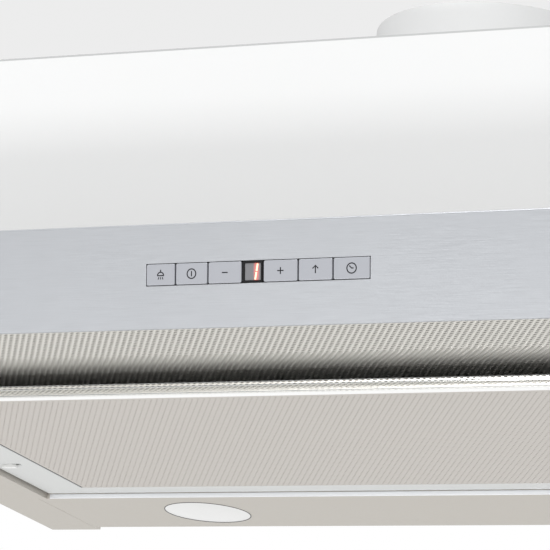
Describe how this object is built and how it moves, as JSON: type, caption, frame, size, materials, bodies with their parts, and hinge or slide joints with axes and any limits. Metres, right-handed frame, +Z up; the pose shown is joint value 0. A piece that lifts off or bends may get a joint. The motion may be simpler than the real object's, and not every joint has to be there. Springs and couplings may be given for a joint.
{
  "type": "under cabinet range hood",
  "caption": "Pull-out cooker hood hung under a wall cabinet: brushed fascia with a key strip, sliding visor filter, perforated filter cassette, round lamps, fan and duct collar.",
  "frame": {"origin": "centre of the four cabinet screw holes, on the top face of the lower tray", "axes": "+X to the right as seen from the front, +Y back towards the wall, +Z up"},
  "size_m": [0.598, 0.3994, 0.2222],
  "materials": {
    "shell_paint": "satin",
    "underside_paint": "satin",
    "brushed_fascia": "brushed",
    "polished_bar": "polished",
    "perforated_sheet": "satin",
    "grease_mesh": "satin",
    "casing_paint": "satin",
    "galvanised": "satin",
    "silver_key": "satin",
    "black_plastic": "gloss",
    "display_smoke": "gloss",
    "frosted_lamp": "frosted",
    "white_plastic": "matte",
    "led_module": "matte",
    "dark_plastic": "matte",
    "fan_plastic": "matte",
    "circuit_board": "satin",
    "motor_metal": "satin",
    "terminal_white": "matte",
    "screw_zinc": "satin",
    "latch_metal": "polished"
  },
  "bodies": {
    "housing": {"shell": "shell_paint", "side_strip_left": "underside_paint", "side_strip_right": "underside_paint", "crossbar": "polished_bar", "lamp_panel": "underside_paint", "lamp_lens_left": "frosted_lamp", "lamp_lens_right": "frosted_lamp", "lamp_holder_left": "white_plastic", "lamp_holder_right": "white_plastic", "lamp_led_left": "led_module", "lamp_led_right": "led_module", "cassette_sheet": "perforated_sheet", "cassette_frame": "galvanised", "cassette_mesh": "grease_mesh", "outer_rail_left": "galvanised", "outer_rail_right": "galvanised", "casing_front": "casing_paint", "casing_rear": "casing_paint", "casing_left": "casing_paint", "casing_right": "casing_paint", "casing_lid": "casing_paint", "exhaust_collar": "dark_plastic", "scroll_housing": "fan_plastic", "scroll_cover": "fan_plastic", "fan_motor": "motor_metal", "motor_bracket": "galvanised", "run_capacitor": "white_plastic", "terminal_box": "dark_plastic", "terminal_cover": "dark_plastic", "terminal_strip": "terminal_white", "cable_gland": "dark_plastic", "strip_screws": "screw_zinc", "rail_screws": "screw_zinc", "casing_screws": "screw_zinc"},
    "visor": {"visor_frame": "galvanised", "visor_sheet": "perforated_sheet", "visor_mesh": "grease_mesh", "inner_rail_left": "galvanised", "inner_rail_right": "galvanised", "fascia": "brushed_fascia", "fascia_back": "galvanised", "fascia_cap_left": "shell_paint", "fascia_cap_right": "shell_paint", "key_carrier": "dark_plastic", "key_board": "circuit_board", "display_bezel": "black_plastic", "display_window": "display_smoke"},
    "fan": {"fan_wheel": "fan_plastic", "fan_shaft": "screw_zinc"},
    "flap_left": {"flap_left": "dark_plastic"},
    "flap_right": {"flap_right": "dark_plastic"},
    "latch_left": {"latch_left": "latch_metal"},
    "latch_right": {"latch_right": "latch_metal"},
    "key_lamp": {"key_lamp": "silver_key"},
    "key_power": {"key_power": "silver_key"},
    "key_slower": {"key_slower": "silver_key"},
    "key_faster": {"key_faster": "silver_key"},
    "key_intensive": {"key_intensive": "silver_key"},
    "key_timer": {"key_timer": "silver_key"}
  },
  "joints": [
    {"name": "visor_slide", "type": "slide", "parent": "housing", "child": "visor", "axis": [0, -1, 0], "range_m": [-0.09, 0.06]},
    {"name": "fan_spin", "type": "hinge", "parent": "housing", "child": "fan", "pos_m": [0, 0.0195, 0.066], "axis": [1, 0, 0], "continuous": true},
    {"name": "flap_left_swing", "type": "hinge", "parent": "housing", "child": "flap_left", "pos_m": [-0.0035, 0, 0.1507], "axis": [0, 1, 0], "range_deg": [0, 80]},
    {"name": "flap_right_swing", "type": "hinge", "parent": "housing", "child": "flap_right", "pos_m": [0.0035, 0, 0.1507], "axis": [0, -1, 0], "range_deg": [0, 80]},
    {"name": "latch_left_slide", "type": "slide", "parent": "housing", "child": "latch_left", "axis": [1, 0, 0], "range_m": [0, 0.004], "stiffness_N_per_m": 250},
    {"name": "latch_right_slide", "type": "slide", "parent": "housing", "child": "latch_right", "axis": [-1, 0, 0], "range_m": [0, 0.004], "stiffness_N_per_m": 250},
    {"name": "key_lamp_press", "type": "slide", "parent": "visor", "child": "key_lamp", "axis": [0, 0.9799, 0.1994], "range_m": [0, 0.0008], "stiffness_N_per_m": 900},
    {"name": "key_power_press", "type": "slide", "parent": "visor", "child": "key_power", "axis": [0, 0.9799, 0.1994], "range_m": [0, 0.0008], "stiffness_N_per_m": 900},
    {"name": "key_slower_press", "type": "slide", "parent": "visor", "child": "key_slower", "axis": [0, 0.9799, 0.1994], "range_m": [0, 0.0008], "stiffness_N_per_m": 900},
    {"name": "key_faster_press", "type": "slide", "parent": "visor", "child": "key_faster", "axis": [0, 0.9799, 0.1994], "range_m": [0, 0.0008], "stiffness_N_per_m": 900},
    {"name": "key_intensive_press", "type": "slide", "parent": "visor", "child": "key_intensive", "axis": [0, 0.9799, 0.1994], "range_m": [0, 0.0008], "stiffness_N_per_m": 900},
    {"name": "key_timer_press", "type": "slide", "parent": "visor", "child": "key_timer", "axis": [0, 0.9799, 0.1994], "range_m": [0, 0.0008], "stiffness_N_per_m": 900}
  ]
}
